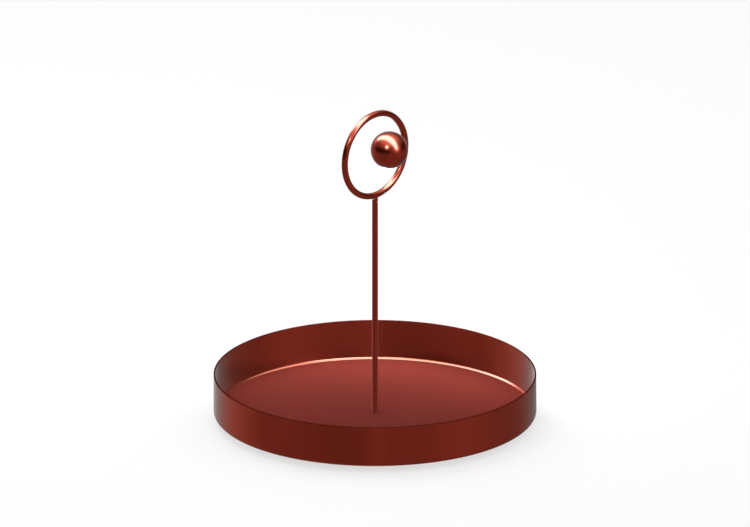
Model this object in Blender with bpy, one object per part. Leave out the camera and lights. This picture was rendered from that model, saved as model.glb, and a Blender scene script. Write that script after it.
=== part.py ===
"""Round metal tray with a slim stem, a grip ring and a ball.

Metres, +Z up. The origin is the middle of the surface that the feet stand on.
The ring stands in the XZ plane, and the ball sits against its +X side.
"""

import math

import bmesh
import bpy
from mathutils import Matrix

# Pan: one sheet, spun to a flat floor and an upright wall
TRAY_DIAMETER = 0.300
TRAY_HEIGHT = 0.039
SHEET_THICKNESS = 0.0015
FLOOR_CORNER_RADIUS = 0.0022
RIM_EDGE_ROUND = 0.0003

# Stem: round bar that stands on the middle of the floor
STEM_DIAMETER = 0.0055
STEM_LENGTH = 0.210
STEM_FOOT_CHAMFER = 0.0003
STEM_FOOT_BORE_DEPTH = 0.012
STEM_SADDLE_DEPTH = 0.0012

# Ring: round bar bent to a circle, measured to the bar's middle
RING_DIAMETER = 0.0795
RING_BAR_DIAMETER = 0.006
RING_HOLE_DEPTH = 0.0035

# Ball
BALL_DIAMETER = 0.035

# Studs that join stem to ring and ring to ball
STUD_DIAMETER = 0.003
STUD_BORE_DEPTH = 0.008
STUD_CHAMFER = 0.0003
DRILL_POINT_ANGLE = math.radians(118)

# Screw from below, with a low round head and a hexagon socket
SCREW_DIAMETER = 0.003
SCREW_THREAD_REACH = 0.009
SCREW_TIP_CHAMFER = 0.0004
SCREW_HEAD_DIAMETER = 0.0057
SCREW_HEAD_HEIGHT = 0.00165
SCREW_HEAD_EDGE = 0.0004
SCREW_SOCKET_WIDTH = 0.002
SCREW_SOCKET_DEPTH = 0.001
SCREW_SOCKET_SIDES = 6

# Wide washer against the pan, and the split washer under the screw's head
LOAD_WASHER_DIAMETER = 0.020
LOAD_WASHER_THICKNESS = 0.0012
LOAD_WASHER_CHAMFER = 0.0002
LOCK_WASHER_DIAMETER = 0.0062
LOCK_WASHER_THICKNESS = 0.0008
LOCK_WASHER_SPLIT = 0.0007
LOCK_WASHER_SLANT = 0.0003

# Rubber feet, stuck to the underside on one circle
FOOT_COUNT = 4
FOOT_CIRCLE_DIAMETER = 0.240
FOOT_DIAMETER = 0.016
FOOT_BASE_DIAMETER = 0.0135
FOOT_HEIGHT = 0.005
FOOT_EDGE_ROUND = 0.0008

# Clearances
SEAT_GAP = 0.0003
THREAD_CLEARANCE = 0.0003
CUT_OVERRUN = 0.001

# Facets round each piece
PAN_STEPS = 96
BALL_STEPS = 48
RING_STEPS = 72
RING_BAR_STEPS = 16
STEM_STEPS = 32
HOLE_STEPS = 24
SMALL_STEPS = 32
CORNER_STEPS = 5
EDGE_STEPS = 3
SMOOTH_ANGLE = math.radians(35)
MERGE_DISTANCE = 0.000001

# Heights that follow from the sizes above
PAN_UNDERSIDE = FOOT_HEIGHT + SEAT_GAP
FLOOR_TOP = PAN_UNDERSIDE + SHEET_THICKNESS
STEM_SEAT = FLOOR_TOP + SEAT_GAP
RING_RADIUS = RING_DIAMETER / 2
RING_BAR_RADIUS = RING_BAR_DIAMETER / 2
RING_CENTRE_HEIGHT = STEM_LENGTH + SEAT_GAP + RING_BAR_RADIUS + RING_RADIUS
BALL_OFFSET = RING_RADIUS - RING_BAR_RADIUS - SEAT_GAP - BALL_DIAMETER / 2
STUD_HOLE_RADIUS = STUD_DIAMETER / 2 + THREAD_CLEARANCE
STUD_LENGTH = RING_HOLE_DEPTH + STUD_BORE_DEPTH - SEAT_GAP
SCREW_HOLE_RADIUS = SCREW_DIAMETER / 2 + THREAD_CLEARANCE
LOAD_WASHER_TOP = PAN_UNDERSIDE - SEAT_GAP
LOCK_WASHER_TOP = LOAD_WASHER_TOP - LOAD_WASHER_THICKNESS - SEAT_GAP
SCREW_HEAD_SEAT = LOCK_WASHER_TOP - LOCK_WASHER_THICKNESS - SEAT_GAP
SCREW_LENGTH = STEM_SEAT - SCREW_HEAD_SEAT + SCREW_THREAD_REACH


def clear_scene():
    """Remove every object of the open scene."""
    for item in list(bpy.data.objects):
        bpy.data.objects.remove(item, do_unlink=True)


def make_material(name, colour, metallic, roughness):
    """A Principled material with one colour and one gloss."""
    material = bpy.data.materials.new(name)
    material.use_nodes = True
    shader = material.node_tree.nodes["Principled BSDF"]
    shader.inputs["Base Color"].default_value = (*colour, 1)
    shader.inputs["Metallic"].default_value = metallic
    shader.inputs["Roughness"].default_value = roughness
    return material


def arc(centre, radius, start_degrees, end_degrees, steps):
    """Points (radius, height) along an arc round a centre."""
    points = []
    for step in range(steps + 1):
        angle = math.radians(start_degrees + (end_degrees - start_degrees) * step / steps)
        points.append((centre[0] + radius * math.cos(angle), centre[1] + radius * math.sin(angle)))
    return points


def drill_tip(hole_radius):
    """Height of the cone that a drill leaves at the end of a blind hole."""
    return hole_radius / math.tan(DRILL_POINT_ANGLE / 2)


def finish_mesh(shape, name, smooth=True):
    """Turn a bmesh into a mesh with its faces outwards and its round sides smooth."""
    bmesh.ops.recalc_face_normals(shape, faces=shape.faces)
    mesh = bpy.data.meshes.new(name)
    shape.to_mesh(mesh)
    shape.free()
    if smooth:
        mesh.shade_smooth()
        mesh.set_sharp_from_angle(angle=SMOOTH_ANGLE)
    return mesh


def turned_mesh(name, outline, steps, closed=False):
    """Spin an outline of (radius, height) points round Z. A closed outline leaves a hole."""
    shape = bmesh.new()
    points = [shape.verts.new((radius, 0, height)) for radius, height in outline]
    edges = [shape.edges.new(pair) for pair in zip(points, points[1:])]
    if closed:
        edges.append(shape.edges.new((points[-1], points[0])))
    bmesh.ops.spin(
        shape,
        geom=points + edges,
        cent=(0, 0, 0),
        axis=(0, 0, 1),
        angle=math.tau,
        steps=steps,
        use_merge=True,
    )
    bmesh.ops.remove_doubles(shape, verts=shape.verts, dist=MERGE_DISTANCE)
    return finish_mesh(shape, name)


def add_piece(name, mesh, material, parent, location=(0, 0, 0), rotation=(0, 0, 0)):
    """Put a mesh in the scene as one named piece of the tray."""
    if material is not None and not mesh.materials:
        mesh.materials.append(material)
    piece = bpy.data.objects.new(name, mesh)
    bpy.context.collection.objects.link(piece)
    piece.parent = parent
    piece.location = location
    piece.rotation_euler = rotation
    return piece


def add_empty(name, parent=None, location=(0, 0, 0)):
    """An empty that carries the pieces of one group."""
    empty = bpy.data.objects.new(name, None)
    bpy.context.collection.objects.link(empty)
    empty.parent = parent
    empty.location = location
    return empty


def cut(piece, cutter):
    """Cut one piece by a cutter that is left out of the model."""
    cutter.hide_render = True
    cutter.display_type = "WIRE"
    boolean = piece.modifiers.new("cut by " + cutter.name, "BOOLEAN")
    boolean.operation = "DIFFERENCE"
    boolean.solver = "EXACT"
    boolean.object = cutter


def hole_cutter(name, radius, low, high, parent, location, rotation=(0, 0, 0)):
    """A drill that runs from low to high along its own Z, measured from its location."""
    outline = [(0, low), (radius, low), (radius, high), (0, high)]
    mesh = turned_mesh(name, outline, HOLE_STEPS)
    return add_piece(name, mesh, None, parent, location, rotation)


def make_pan(material, parent):
    """Floor and wall in one sheet of even thickness, with the screw's hole in the middle."""
    radius = TRAY_DIAMETER / 2
    bend = FLOOR_CORNER_RADIUS + SHEET_THICKNESS
    bend_centre = (radius - bend, bend)
    edge = RIM_EDGE_ROUND
    inside = radius - SHEET_THICKNESS
    outline = [(SCREW_HOLE_RADIUS, 0)]
    outline += arc(bend_centre, bend, -90, 0, CORNER_STEPS)
    outline += arc((radius - edge, TRAY_HEIGHT - edge), edge, 0, 90, EDGE_STEPS)
    outline += arc((inside + edge, TRAY_HEIGHT - edge), edge, 90, 180, EDGE_STEPS)
    outline += arc(bend_centre, FLOOR_CORNER_RADIUS, 0, -90, CORNER_STEPS)
    outline += [(SCREW_HOLE_RADIUS, SHEET_THICKNESS)]
    mesh = turned_mesh("tray_pan", outline, PAN_STEPS, closed=True)
    add_piece("tray_pan", mesh, material, parent, (0, 0, PAN_UNDERSIDE))


def make_stem(material, handle):
    """Bar with a bore at each end, its top cut to a saddle that the ring sits in."""
    radius = STEM_DIAMETER / 2
    top = STEM_LENGTH + STEM_SADDLE_DEPTH
    top_bore_end = STEM_LENGTH - STUD_BORE_DEPTH
    outline = [
        (0, STEM_FOOT_BORE_DEPTH + drill_tip(SCREW_HOLE_RADIUS)),
        (SCREW_HOLE_RADIUS, STEM_FOOT_BORE_DEPTH),
        (SCREW_HOLE_RADIUS, 0),
        (radius - STEM_FOOT_CHAMFER, 0),
        (radius, STEM_FOOT_CHAMFER),
        (radius, top),
        (STUD_HOLE_RADIUS, top),
        (STUD_HOLE_RADIUS, top_bore_end),
        (0, top_bore_end - drill_tip(STUD_HOLE_RADIUS)),
    ]
    stem = add_piece("stem", turned_mesh("stem", outline, STEM_STEPS), material, handle)
    saddle = ring_mesh("saddle_cutter", RING_BAR_RADIUS + SEAT_GAP, STEM_STEPS)
    cut(stem, add_piece("saddle_cutter", saddle, None, handle, *ring_place()))


def ring_mesh(name, bar_radius, bar_steps):
    """A round bar bent to the ring's circle, about its own Z axis."""
    section = arc((RING_RADIUS, 0), bar_radius, 0, 360, bar_steps)[:-1]
    return turned_mesh(name, section, RING_STEPS, closed=True)


def ring_place():
    """Location and rotation that stand the ring upright over the stem."""
    return (0, 0, RING_CENTRE_HEIGHT), (math.pi / 2, 0, 0)


def make_ring(material, handle):
    """Closed ring of round bar, with a blind hole over the stem and one beside the ball."""
    mesh = ring_mesh("ring", RING_BAR_RADIUS, RING_BAR_STEPS)
    ring = add_piece("ring", mesh, material, handle, *ring_place())
    underside = (0, 0, RING_CENTRE_HEIGHT - RING_RADIUS - RING_BAR_RADIUS)
    inner_side = (RING_RADIUS - RING_BAR_RADIUS, 0, RING_CENTRE_HEIGHT)
    for name, place, turn in (
        ("stem_hole_cutter", underside, (0, 0, 0)),
        ("ball_hole_cutter", inner_side, (0, math.pi / 2, 0)),
    ):
        drill = hole_cutter(name, STUD_HOLE_RADIUS, -CUT_OVERRUN, RING_HOLE_DEPTH, handle, place, turn)
        cut(ring, drill)


def make_ball(material, handle):
    """Solid ball with a blind hole that faces the ring's +X side."""
    radius = BALL_DIAMETER / 2
    mouth_angle = math.degrees(math.acos(STUD_HOLE_RADIUS / radius))
    hole_end = radius - STUD_BORE_DEPTH
    outline = [(0, hole_end - drill_tip(STUD_HOLE_RADIUS)), (STUD_HOLE_RADIUS, hole_end)]
    outline += arc((0, 0), radius, mouth_angle, -90, BALL_STEPS // 2)
    mesh = turned_mesh("ball", outline, BALL_STEPS)
    place = (BALL_OFFSET, 0, RING_CENTRE_HEIGHT)
    add_piece("ball", mesh, material, handle, place, (0, math.pi / 2, 0))


def make_studs(material, handle):
    """Two like studs, each from a blind hole of the ring into the piece that it holds."""
    radius = STUD_DIAMETER / 2
    outline = [
        (0, 0),
        (radius - STUD_CHAMFER, 0),
        (radius, STUD_CHAMFER),
        (radius, STUD_LENGTH - STUD_CHAMFER),
        (radius - STUD_CHAMFER, STUD_LENGTH),
        (0, STUD_LENGTH),
    ]
    mesh = turned_mesh("stud", outline, HOLE_STEPS)
    stem_bore_end = STEM_LENGTH - STUD_BORE_DEPTH
    ball_bore_end = BALL_OFFSET + BALL_DIAMETER / 2 - STUD_BORE_DEPTH
    ring_place_up = (0, 0, stem_bore_end + SEAT_GAP)
    ball_place_out = (ball_bore_end + SEAT_GAP, 0, RING_CENTRE_HEIGHT)
    add_piece("ring_stud", mesh, material, handle, ring_place_up)
    add_piece("ball_stud", mesh, material, handle, ball_place_out, (0, math.pi / 2, 0))


def screw_outline():
    """Half section of the screw: domed head below zero, shank above it."""
    head_radius = SCREW_HEAD_DIAMETER / 2
    shank_radius = SCREW_DIAMETER / 2
    crown_radius = SCREW_SOCKET_WIDTH / 2 / math.cos(math.pi / SCREW_SOCKET_SIDES) + SCREW_HEAD_EDGE
    outline = [(0, -SCREW_HEAD_HEIGHT)]
    for step in range(CORNER_STEPS + 1):
        angle = math.pi / 2 * step / CORNER_STEPS
        across = crown_radius + (head_radius - crown_radius) * math.sin(angle)
        down = SCREW_HEAD_EDGE + (SCREW_HEAD_HEIGHT - SCREW_HEAD_EDGE) * math.cos(angle)
        outline.append((across, -down))
    outline += [
        (head_radius, 0),
        (shank_radius, 0),
        (shank_radius, SCREW_LENGTH - SCREW_TIP_CHAMFER),
        (shank_radius - SCREW_TIP_CHAMFER, SCREW_LENGTH),
        (0, SCREW_LENGTH),
    ]
    return outline


def make_screw(material, parent):
    """Screw that pulls the stem down on the pan from below."""
    mesh = turned_mesh("stem_screw", screw_outline(), SMALL_STEPS)
    screw = add_piece("stem_screw", mesh, material, parent, (0, 0, SCREW_HEAD_SEAT))
    corner_radius = SCREW_SOCKET_WIDTH / 2 / math.cos(math.pi / SCREW_SOCKET_SIDES)
    depth = SCREW_SOCKET_DEPTH + CUT_OVERRUN
    shape = bmesh.new()
    bmesh.ops.create_cone(
        shape,
        cap_ends=True,
        segments=SCREW_SOCKET_SIDES,
        radius1=corner_radius,
        radius2=corner_radius,
        depth=depth,
        matrix=Matrix.Translation((0, 0, -SCREW_HEAD_HEIGHT + SCREW_SOCKET_DEPTH - depth / 2)),
    )
    mesh = finish_mesh(shape, "socket_cutter", smooth=False)
    cut(screw, add_piece("socket_cutter", mesh, None, parent, (0, 0, SCREW_HEAD_SEAT)))


def make_load_washer(material, parent):
    """Wide flat washer that spreads the screw's pull over the sheet."""
    radius = LOAD_WASHER_DIAMETER / 2
    edge = LOAD_WASHER_CHAMFER
    outline = [
        (SCREW_HOLE_RADIUS, -LOAD_WASHER_THICKNESS),
        (radius - edge, -LOAD_WASHER_THICKNESS),
        (radius, edge - LOAD_WASHER_THICKNESS),
        (radius, -edge),
        (radius - edge, 0),
        (SCREW_HOLE_RADIUS, 0),
    ]
    mesh = turned_mesh("load_washer", outline, SMALL_STEPS, closed=True)
    add_piece("load_washer", mesh, material, parent, (0, 0, LOAD_WASHER_TOP))


def make_lock_washer(material, parent):
    """Split ring of square wire, pressed flat, with a slanted cut through it."""
    outside = LOCK_WASHER_DIAMETER / 2
    split = LOCK_WASHER_SPLIT / outside
    slant = LOCK_WASHER_SLANT / outside
    shape = bmesh.new()
    corners = []
    for radius, height, turn in (
        (SCREW_HOLE_RADIUS, 0, split + slant),
        (outside, 0, split + slant),
        (outside, -LOCK_WASHER_THICKNESS, split),
        (SCREW_HOLE_RADIUS, -LOCK_WASHER_THICKNESS, split),
    ):
        corners.append(shape.verts.new((radius * math.cos(turn), radius * math.sin(turn), height)))
    sides = [shape.edges.new((corners[i], corners[(i + 1) % len(corners)])) for i in range(len(corners))]
    bmesh.ops.spin(
        shape,
        geom=corners + sides,
        cent=(0, 0, 0),
        axis=(0, 0, 1),
        angle=math.tau - split,
        steps=HOLE_STEPS,
    )
    bmesh.ops.holes_fill(shape, edges=shape.edges, sides=len(corners))
    mesh = finish_mesh(shape, "lock_washer")
    add_piece("lock_washer", mesh, material, parent, (0, 0, LOCK_WASHER_TOP))


def make_feet(material, parent):
    """Four tapered rubber feet, half way between the ring's plane and its axis."""
    base = FOOT_BASE_DIAMETER / 2
    outline = [(0, 0)]
    outline += arc((base - FOOT_EDGE_ROUND, FOOT_EDGE_ROUND), FOOT_EDGE_ROUND, -90, 0, EDGE_STEPS)
    outline += [(FOOT_DIAMETER / 2, FOOT_HEIGHT), (0, FOOT_HEIGHT)]
    mesh = turned_mesh("foot", outline, SMALL_STEPS)
    for number in range(FOOT_COUNT):
        angle = math.tau * (number + 1 / 2) / FOOT_COUNT
        reach = FOOT_CIRCLE_DIAMETER / 2
        place = (reach * math.cos(angle), reach * math.sin(angle), 0)
        add_piece(f"foot_{number + 1}", mesh, material, parent, place)


def main():
    """Build the whole tray."""
    clear_scene()
    lacquer = make_material("copper_red_lacquer", (0.170, 0.018, 0.0105), 1, 0.2)
    steel = make_material("zinc_plated_steel", (0.55, 0.56, 0.58), 1, 0.35)
    rubber = make_material("dark_rubber", (0.022, 0.021, 0.021), 0, 0.8)

    tray = add_empty("tray")
    handle = add_empty("handle", tray, (0, 0, STEM_SEAT))
    make_pan(lacquer, tray)
    make_stem(lacquer, handle)
    make_ring(lacquer, handle)
    make_ball(lacquer, handle)
    make_studs(steel, handle)
    make_screw(steel, tray)
    make_load_washer(steel, tray)
    make_lock_washer(steel, tray)
    make_feet(rubber, tray)


main()
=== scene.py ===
"""Looks of a round metal tray with a slim stem, a grip ring and a ball.

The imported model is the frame. Every piece here is rebuilt finely in the place of its
solid, and gets its lacquer, plated steel or rubber. Metres, +Z up.
"""

import logging
import math
from dataclasses import dataclass, field
from enum import Enum
from typing import Iterable, Optional, Sequence

import bmesh
import bpy
from mathutils import Matrix, Quaternion, Vector


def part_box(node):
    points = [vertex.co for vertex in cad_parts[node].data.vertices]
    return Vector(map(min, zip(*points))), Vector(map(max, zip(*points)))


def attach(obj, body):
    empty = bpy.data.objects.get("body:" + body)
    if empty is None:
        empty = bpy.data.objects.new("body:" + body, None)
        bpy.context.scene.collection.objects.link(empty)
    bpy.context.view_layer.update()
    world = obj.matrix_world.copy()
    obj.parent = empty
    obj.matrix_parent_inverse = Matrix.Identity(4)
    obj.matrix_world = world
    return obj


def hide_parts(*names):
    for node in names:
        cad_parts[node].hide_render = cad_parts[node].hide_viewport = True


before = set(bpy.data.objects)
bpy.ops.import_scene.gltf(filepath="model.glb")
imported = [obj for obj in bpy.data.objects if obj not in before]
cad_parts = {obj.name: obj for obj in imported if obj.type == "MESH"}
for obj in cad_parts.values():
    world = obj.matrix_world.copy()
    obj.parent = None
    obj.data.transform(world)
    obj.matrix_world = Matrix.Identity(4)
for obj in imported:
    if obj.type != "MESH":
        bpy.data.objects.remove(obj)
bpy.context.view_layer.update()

LOG = logging.getLogger("tray")
Point = tuple[float, float]
Colour = tuple[float, float, float]
Inputs = dict[object, object]

BODY = "root"
SEAT_GAP = 0.0003
MERGE_DISTANCE = 0.000001
SMOOTH_ANGLE = math.radians(35)
END_ROWS = 3
Z_ALONG_X = Matrix.Rotation(math.pi / 2, 4, "Y")
WHITE = (1.0, 1.0, 1.0)
MIX_COLOUR_INPUTS = (6, 7)
MIX_COLOUR_OUTPUT = 2


class Slot(Enum):
    """The record's material slots."""

    LACQUER = "copper_red_lacquer"
    STEEL = "zinc_plated_steel"
    RUBBER = "dark_rubber"


class Zone(Enum):
    """Attributes that tell the lacquer which part of the pan a point is on."""

    FLOOR = "floor_share"
    # The rim's share marks where the lacquer gets painted shade, a darker coat along the rim.
    RIM = "rim_share"


# Node trees


class NodeSketch:
    """Short hand for adding and linking the nodes of one tree."""

    def __init__(self, tree: bpy.types.NodeTree) -> None:
        """Work on this tree.

        Args:
            tree: the shader or geometry tree to fill.
        """
        self.tree = tree

    def add(self, kind: str, inputs: Optional[Inputs] = None, **settings: object) -> bpy.types.Node:
        """Add one node and feed it.

        Args:
            kind: the node's type name.
            inputs: what its inputs get, by name or number.
            settings: properties of the node.

        Returns:
            The new node.
        """
        node = self.tree.nodes.new(kind)
        for name, value in settings.items():
            setattr(node, name, value)
        self.feed(node, inputs or {})
        return node

    def feed(self, node: bpy.types.Node, inputs: Inputs) -> None:
        """Link outputs to a node's inputs, or set the inputs to plain values.

        Args:
            node: the node that is fed.
            inputs: output sockets, numbers, vectors or datablocks, by the input's name or number.
        """
        for key, value in inputs.items():
            if isinstance(value, bpy.types.NodeSocket):
                self.tree.links.new(value, node.inputs[key])
            else:
                node.inputs[key].default_value = value

    def math(self, operation: str, *values: object, clamp: bool = False) -> bpy.types.NodeSocket:
        """One step of arithmetic.

        Args:
            operation: the Math node's operation.
            values: its inputs, in order.
            clamp: keep the result within 0 and 1.

        Returns:
            The result's socket.
        """
        inputs = dict(enumerate(values))
        return self.add("ShaderNodeMath", inputs, operation=operation, use_clamp=clamp).outputs[0]

    def spread(self, value: object, low: float, high: float) -> bpy.types.NodeSocket:
        """Map a share from 0 to 1 onto a range.

        Args:
            value: the share's socket.
            low: the result at 0.
            high: the result at 1.

        Returns:
            The mapped socket.
        """
        return self.math("MULTIPLY_ADD", value, high - low, low)

    def blend_colours(self, share: object, first: object, second: object) -> bpy.types.NodeSocket:
        """Mix two colours.

        Args:
            share: the second colour's share.
            first: a socket or a colour.
            second: a socket or a colour.

        Returns:
            The mixed colour's socket.
        """
        inputs: Inputs = {0: share}
        for number, value in zip(MIX_COLOUR_INPUTS, (first, second)):
            inputs[number] = (*value, 1.0) if isinstance(value, tuple) else value
        return self.add("ShaderNodeMix", inputs, data_type="RGBA").outputs[MIX_COLOUR_OUTPUT]

    def noise(self, place: object, scale: float, detail: float = 2.0) -> bpy.types.NodeSocket:
        """Smooth noise from 0 to 1.

        Args:
            place: the socket that it is read at.
            scale: repeats in a metre.
            detail: octaves.

        Returns:
            The noise's socket.
        """
        inputs = {"Vector": place, "Scale": scale, "Detail": detail}
        return self.add("ShaderNodeTexNoise", inputs, noise_dimensions="3D").outputs["Fac"]

    def bump(self, height: object, depth: float, normal: object = None) -> bpy.types.NodeSocket:
        """A bumped normal.

        Args:
            height: the relief's socket, from 0 to 1.
            depth: the relief's real depth.
            normal: the normal that it adds to.

        Returns:
            The normal's socket.
        """
        node = self.add("ShaderNodeBump", {"Height": height, "Distance": depth})
        if normal is not None:
            self.feed(node, {"Normal": normal})
        return node.outputs[0]

    def light(self, kind: str, strength: float, colour: Colour = WHITE) -> bpy.types.Node:
        """A shader that gives even light.

        Args:
            kind: the node's type name.
            strength: how bright it is.
            colour: its colour.

        Returns:
            The shader.
        """
        return self.add(kind, {"Strength": strength, "Color": (*colour, 1.0)})

    def end_in_mix(self, kind: str, share: object, first: bpy.types.Node, second: bpy.types.Node) -> None:
        """Mix two shaders and end the tree in them.

        Args:
            kind: the output node's type name.
            share: the second shader's share.
            first: one shader.
            second: the other shader.
        """
        mix = self.add("ShaderNodeMixShader", {0: share, 1: first.outputs[0], 2: second.outputs[0]})
        self.add(kind, {0: mix.outputs[0]})


def principled_material(name: str) -> tuple[bpy.types.Material, NodeSketch, bpy.types.Node]:
    """Start a material on its Principled shader.

    Args:
        name: the material's name.

    Returns:
        The material, the sketch of its tree and its shader.
    """
    material = bpy.data.materials.new(name)
    material.use_nodes = True
    return material, NodeSketch(material.node_tree), material.node_tree.nodes["Principled BSDF"]


def blank_sketch(owner: bpy.types.ID) -> NodeSketch:
    """Start the shader tree of a material or a world from nothing.

    Args:
        owner: the material or the world.

    Returns:
        The sketch of its tree.
    """
    owner.use_nodes = True
    owner.node_tree.nodes.clear()
    return NodeSketch(owner.node_tree)


# Finishes


@dataclass(frozen=True)
class Coat:
    """How the lacquer lies on one part of the tray."""

    colour: Colour
    light_colour: Colour
    metallic: float
    roughness: float
    edge_tint: Colour


@dataclass(frozen=True)
class Lacquer:
    """Copper-red metallic lacquer: gloss, satin on the pan's floor, and painted shade on its rim."""

    gloss: Coat = Coat((0.130, 0.0143, 0.0075), (0.142, 0.0163, 0.0088), 0.90, 0.20, (0.67, 0.64, 0.62))
    satin: Coat = Coat((0.124, 0.0188, 0.0133), (0.132, 0.0204, 0.0146), 0.05, 0.40, (0.35, 0.30, 0.30))
    # Painted shade: the rim coat is much darker than the gloss coat, so the rim shows as a dark line.
    shaded_rim: Coat = Coat((0.050, 0.0055, 0.0033), (0.060, 0.0066, 0.0040), 0.05, 0.45, (0.20, 0.10, 0.08))
    specular_level: float = 0.0
    roughness_spread: float = 0.03
    cloud_share: float = 0.5
    cloud_scale: float = 14.0
    flake_scale: float = 2600.0
    peel_scale: float = 260.0
    peel_depth: float = 0.0000012
    mark_scale: float = 900.0
    mark_depth: float = 0.000002

    def build(self) -> bpy.types.Material:
        """Make the material.

        Returns:
            The lacquer. It reads the pan's zone attributes, and is gloss where there are none.
        """
        material, sketch, shader = principled_material(Slot.LACQUER.value)
        place = sketch.add("ShaderNodeTexCoord").outputs["Object"]
        shares = [sketch.add("ShaderNodeAttribute", attribute_name=zone.value) for zone in Zone]
        floor, shaded_rim = (node.outputs["Fac"] for node in shares)
        clouds = sketch.noise(place, self.cloud_scale)
        flakes = sketch.noise(place, self.flake_scale, detail=1.0)
        tone = sketch.math("MULTIPLY", clouds, self.cloud_share)
        tone = sketch.math("MULTIPLY_ADD", flakes, 1 - self.cloud_share, tone)

        coats = (self.gloss, self.satin, self.shaded_rim)
        tones = [sketch.blend_colours(tone, coat.colour, coat.light_colour) for coat in coats]
        tints = [coat.edge_tint for coat in coats]
        for name, colours in (("Base Color", tones), ("Specular Tint", tints)):
            inside = sketch.blend_colours(floor, colours[0], colours[1])
            sketch.feed(shader, {name: sketch.blend_colours(shaded_rim, inside, colours[2])})

        metal = sketch.spread(floor, self.gloss.metallic, self.satin.metallic)
        metal = sketch.math("MULTIPLY_ADD", shaded_rim, self.shaded_rim.metallic - self.gloss.metallic, metal)
        rough = sketch.spread(floor, self.gloss.roughness, self.satin.roughness)
        rough = sketch.math("MULTIPLY_ADD", shaded_rim, self.shaded_rim.roughness - self.gloss.roughness, rough)
        uneven = sketch.spread(clouds, -self.roughness_spread, self.roughness_spread)
        sketch.feed(shader, {"Metallic": metal, "Roughness": sketch.math("ADD", rough, uneven)})

        marks = sketch.noise(self.turned_place(sketch, place), self.mark_scale)
        marks = sketch.math("MULTIPLY", marks, floor)
        peel = sketch.noise(place, self.peel_scale, detail=1.0)
        normal = sketch.bump(marks, self.mark_depth, sketch.bump(peel, self.peel_depth))
        sketch.feed(shader, {"Normal": normal, "Specular IOR Level": self.specular_level})
        return material

    def turned_place(self, sketch: NodeSketch, place: bpy.types.NodeSocket) -> bpy.types.NodeSocket:
        """Coordinates that vary with the distance from the tray's axis alone.

        Args:
            sketch: the tree.
            place: the object coordinates.

        Returns:
            A vector whose X is the distance from the axis.
        """
        parts = sketch.add("ShaderNodeSeparateXYZ", {0: place})
        squares = [sketch.math("MULTIPLY", parts.outputs[i], parts.outputs[i]) for i in (0, 1)]
        distance = sketch.math("SQRT", sketch.math("ADD", *squares))
        return sketch.add("ShaderNodeCombineXYZ", {0: distance}).outputs[0]


@dataclass(frozen=True)
class MottledFinish:
    """A finish of two tones in soft patches, with a fine grain."""

    slot: Slot
    colour: Colour
    patch_colour: Colour
    metallic: float
    roughness: float
    roughness_spread: float
    grain_is_rough: bool
    patch_scale: float
    patch_detail: float
    grain_scale: float
    grain_depth: float

    def build(self) -> bpy.types.Material:
        """Make the material.

        Returns:
            The finish, under its slot's name.
        """
        material, sketch, shader = principled_material(self.slot.value)
        place = sketch.add("ShaderNodeTexCoord").outputs["Object"]
        patches = sketch.noise(place, self.patch_scale, self.patch_detail)
        grain = sketch.noise(place, self.grain_scale)
        guide = grain if self.grain_is_rough else patches
        inputs = {
            "Base Color": sketch.blend_colours(patches, self.colour, self.patch_colour),
            "Roughness": sketch.spread(guide, self.roughness, self.roughness + self.roughness_spread),
            "Normal": sketch.bump(grain, self.grain_depth),
            "Metallic": self.metallic,
        }
        sketch.feed(shader, inputs)
        return material


@dataclass(frozen=True)
class PlatedSteel(MottledFinish):
    """Bright zinc plate with a faint mottle."""

    slot: Slot = Slot.STEEL
    colour: Colour = (0.55, 0.56, 0.58)
    patch_colour: Colour = (0.47, 0.48, 0.49)
    metallic: float = 1.0
    roughness: float = 0.28
    roughness_spread: float = 0.14
    grain_is_rough: bool = False
    patch_scale: float = 900.0
    patch_detail: float = 4.0
    grain_scale: float = 6000.0
    grain_depth: float = 0.000004


@dataclass(frozen=True)
class MouldedRubber(MottledFinish):
    """Dark rubber, matt from a textured mould, with a trace of dust."""

    slot: Slot = Slot.RUBBER
    colour: Colour = (0.020, 0.0195, 0.019)
    patch_colour: Colour = (0.045, 0.043, 0.041)
    metallic: float = 0.0
    roughness: float = 0.72
    roughness_spread: float = 0.16
    grain_is_rough: bool = True
    patch_scale: float = 140.0
    patch_detail: float = 5.0
    grain_scale: float = 3500.0
    grain_depth: float = 0.00002


# Shapes


def arc(centre: Point, radius: float, start: float, end: float, steps: int) -> list[Point]:
    """Points along an arc.

    Args:
        centre: the arc's centre, as (across, up).
        radius: the arc's radius.
        start: the first point's angle, in degrees.
        end: the last point's angle, in degrees.
        steps: stretches along the arc.

    Returns:
        The points, both ends included.
    """
    points = []
    for step in range(steps + 1):
        angle = math.radians(start + (end - start) * step / steps)
        points.append((centre[0] + radius * math.cos(angle), centre[1] + radius * math.sin(angle)))
    return points


def rod_outline(radius: float, low: float, high: float) -> list[Point]:
    """The half section of a plain rod or prism on the axis, with flat ends."""
    return [(0, low), (radius, low), (radius, high), (0, high)]


def turned_mesh(name: str, outline: Sequence[Point], steps: int, closed: bool = False) -> bpy.types.Mesh:
    """Spin an outline round Z.

    Args:
        name: the mesh's name.
        outline: (distance from the axis, height) points.
        steps: stretches round the axis.
        closed: join the last point to the first.

    Returns:
        A closed mesh with its faces outwards.
    """
    shape = bmesh.new()
    points = [shape.verts.new((across, 0.0, up)) for across, up in outline]
    edges = [shape.edges.new(pair) for pair in zip(points, points[1:])]
    if closed:
        edges.append(shape.edges.new((points[-1], points[0])))
    bmesh.ops.spin(
        shape,
        geom=points + edges,
        cent=(0, 0, 0),
        axis=(0, 0, 1),
        angle=math.tau,
        steps=steps,
        use_merge=True,
    )
    bmesh.ops.remove_doubles(shape, verts=shape.verts, dist=MERGE_DISTANCE)
    bmesh.ops.recalc_face_normals(shape, faces=shape.faces)
    return finished_mesh(shape, name)


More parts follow.
